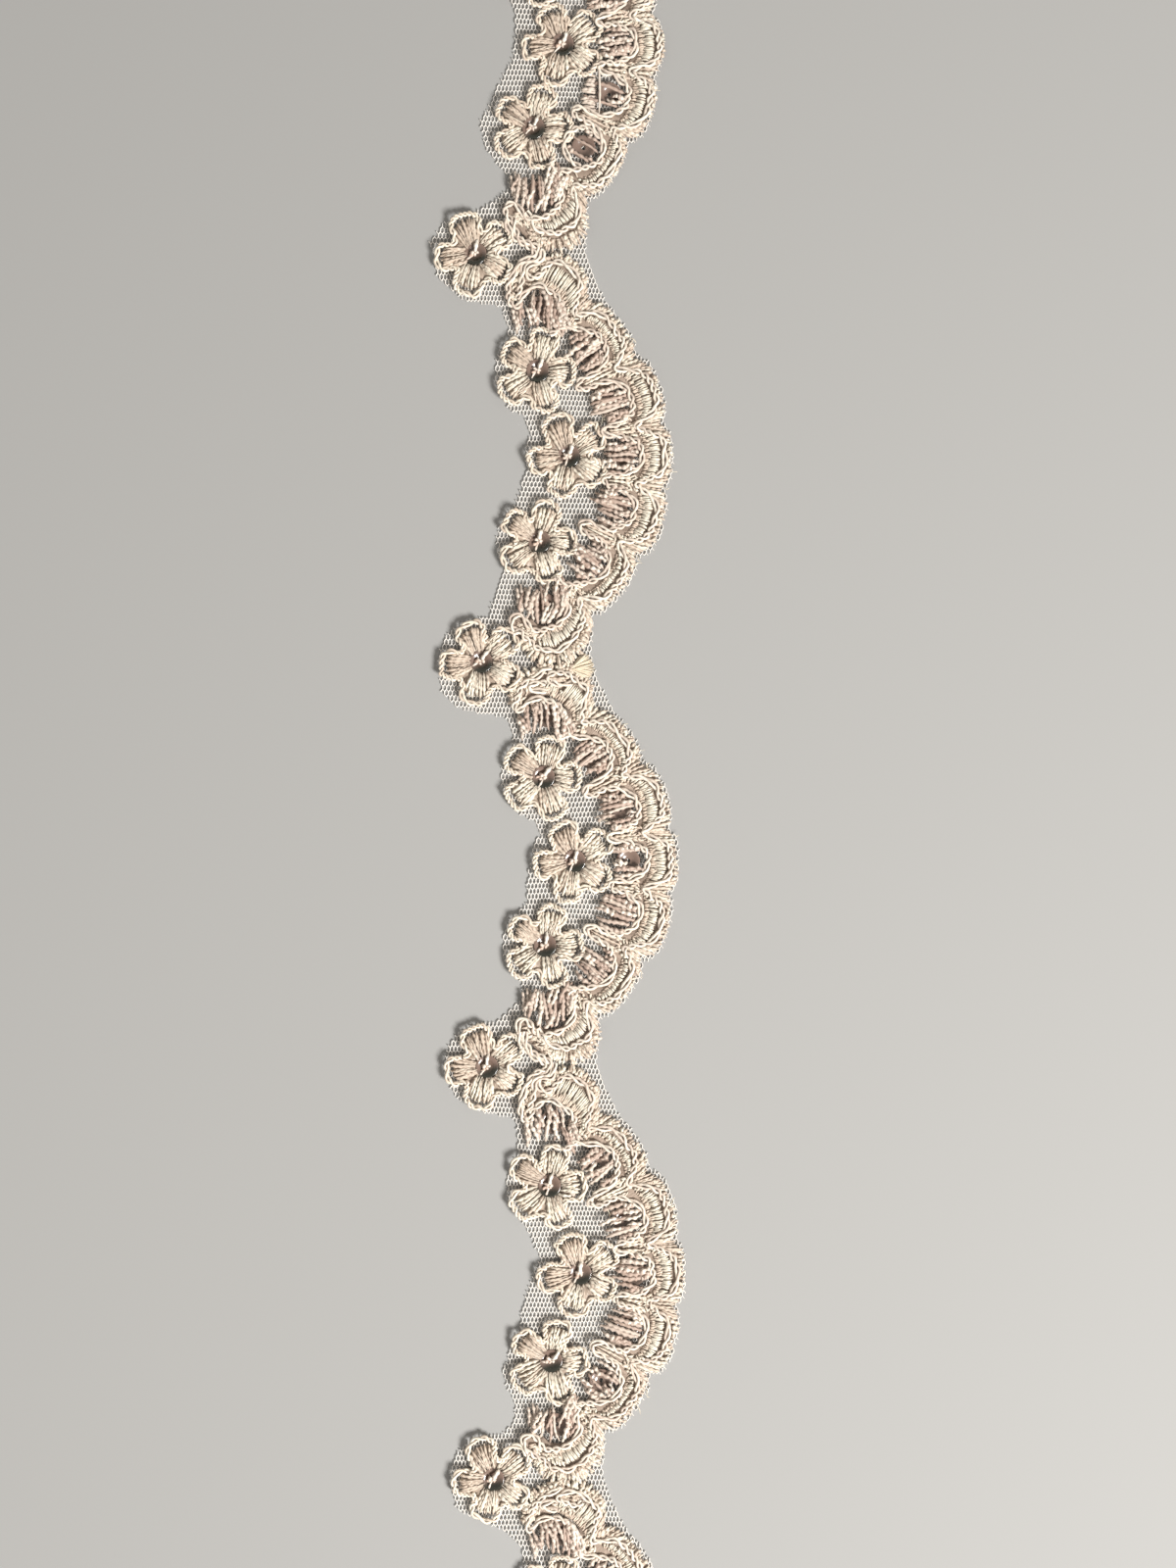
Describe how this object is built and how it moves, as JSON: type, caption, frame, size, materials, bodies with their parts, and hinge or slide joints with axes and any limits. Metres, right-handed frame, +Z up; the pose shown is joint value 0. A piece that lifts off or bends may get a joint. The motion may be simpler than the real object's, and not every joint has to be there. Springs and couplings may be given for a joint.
{
  "type": "sequin trim",
  "caption": "Embroidered net edging trim with a scalloped shell border, five-petalled flowers and small sewn sequins.",
  "frame": {"origin": "on the surface that the trim lies on, under the middle of its bounding box", "axes": "+X across the trim towards its scalloped edge, +Y along its length, +Z up off the surface, right side up"},
  "size_m": [0.0528, 0.33, 0.0024],
  "materials": {
    "net": "fine hexagonal nylon net, open and soft",
    "thread": "shiny rayon embroidery thread, champagne pink",
    "sequin": "glossy see-through smoky brown plastic"
  },
  "bodies": {
    "root": {"flower_a_lower": "thread", "flower_a_middle": "thread", "flower_a_upper": "thread", "flower_b_lower": "thread", "flower_b_middle": "thread", "flower_b_outer": "thread", "flower_b_upper": "thread", "flower_c_lower": "thread", "flower_c_middle": "thread", "flower_c_outer": "thread", "flower_c_upper": "thread", "flower_d_lower": "thread", "flower_d_middle": "thread", "flower_d_outer": "thread", "flower_d_upper": "thread", "flower_e_outer": "thread", "flower_e_upper": "thread", "net_ground": "net", "sequin_flower_a_lower": "sequin", "sequin_flower_a_middle": "sequin", "sequin_flower_b_lower": "sequin", "sequin_flower_b_middle": "sequin", "sequin_flower_b_outer": "sequin", "sequin_flower_b_upper": "sequin", "sequin_flower_c_lower": "sequin", "sequin_flower_c_middle": "sequin", "sequin_flower_c_outer": "sequin", "sequin_flower_c_upper": "sequin", "sequin_flower_d_lower": "sequin", "sequin_flower_d_middle": "sequin", "sequin_flower_d_outer": "sequin", "sequin_flower_d_upper": "sequin", "sequin_flower_e_outer": "sequin", "sequin_shell_a_4": "sequin", "sequin_shell_a_5": "sequin", "sequin_shell_a_6": "sequin", "sequin_shell_a_7": "sequin", "sequin_shell_b_1": "sequin", "sequin_shell_b_2": "sequin", "sequin_shell_b_3": "sequin", "sequin_shell_b_4": "sequin", "sequin_shell_b_5": "sequin", "sequin_shell_b_6": "sequin", "sequin_shell_b_7": "sequin", "sequin_shell_c_1": "sequin", "sequin_shell_c_2": "sequin", "sequin_shell_c_3": "sequin", "sequin_shell_c_4": "sequin", "sequin_shell_c_5": "sequin", "sequin_shell_c_6": "sequin", "sequin_shell_c_7": "sequin", "sequin_shell_d_1": "sequin", "sequin_shell_d_2": "sequin", "sequin_shell_d_3": "sequin", "sequin_shell_d_4": "sequin", "sequin_shell_d_5": "sequin", "sequin_shell_d_6": "sequin", "sequin_shell_d_7": "sequin", "sequin_shell_e_1": "sequin", "shell_border": "thread"}
  },
  "joints": []
}
